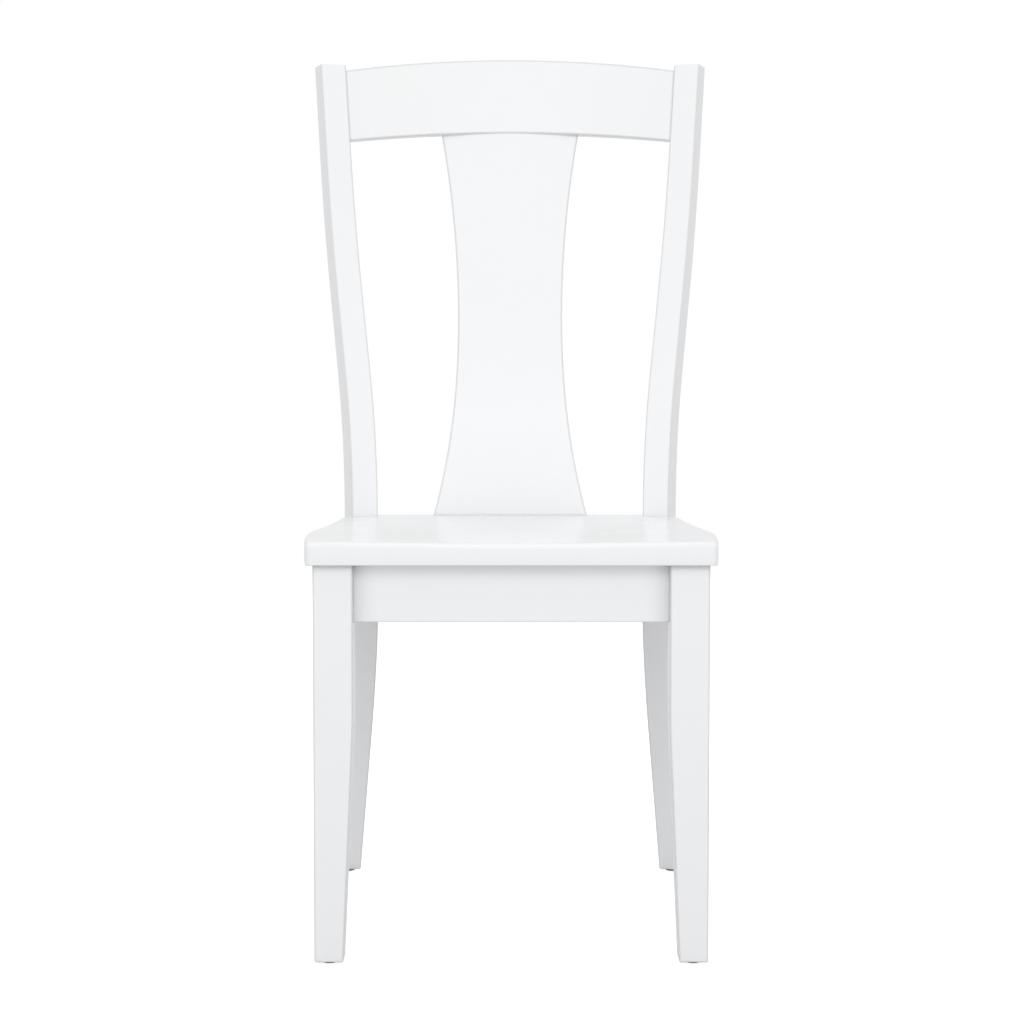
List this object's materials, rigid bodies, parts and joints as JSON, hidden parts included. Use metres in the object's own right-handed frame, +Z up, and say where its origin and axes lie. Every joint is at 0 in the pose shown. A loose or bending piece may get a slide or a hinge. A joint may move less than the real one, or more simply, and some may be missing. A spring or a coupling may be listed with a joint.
{
  "type": "side chair",
  "caption": "Wooden side chair with a scooped seat, tapered front legs, curved rear posts, a bowed crest rail and an hourglass splat.",
  "frame": {"origin": "on the floor, under the middle of the whole chair's box", "axes": "+Z up; -Y to the front, where the sitter's knees are; +X to the right as seen from the front"},
  "size_m": [0.5022, 0.5974, 1.0385],
  "materials": {
    "white_paint": "satin white lacquer on hardwood",
    "bare_hardwood": "planed, unfinished",
    "zinc_steel": "zinc plated",
    "glide_plastic": "moulded, matt"
  },
  "bodies": {
    "root": {"seat": "white_paint", "front_leg_left": "white_paint", "front_leg_right": "white_paint", "rear_post_left": "white_paint", "rear_post_right": "white_paint", "crest_rail": "white_paint", "back_splat": "white_paint", "front_apron": "white_paint", "rear_apron": "white_paint", "side_apron_left": "white_paint", "side_apron_right": "white_paint", "front_corner_block_left": "bare_hardwood", "front_corner_block_right": "bare_hardwood", "rear_corner_block_left": "bare_hardwood", "rear_corner_block_right": "bare_hardwood", "front_apron_dowels": "bare_hardwood", "side_apron_dowels": "bare_hardwood", "rear_apron_dowels": "bare_hardwood", "crest_rail_dowels": "bare_hardwood", "hanger_bolts": "zinc_steel", "bolt_washers": "zinc_steel", "bolt_nuts": "zinc_steel", "corner_block_screws": "zinc_steel", "seat_screws": "zinc_steel", "glide_nails": "zinc_steel", "front_glide_left": "glide_plastic", "front_glide_right": "glide_plastic", "rear_glide_left": "glide_plastic", "rear_glide_right": "glide_plastic"}
  },
  "joints": []
}
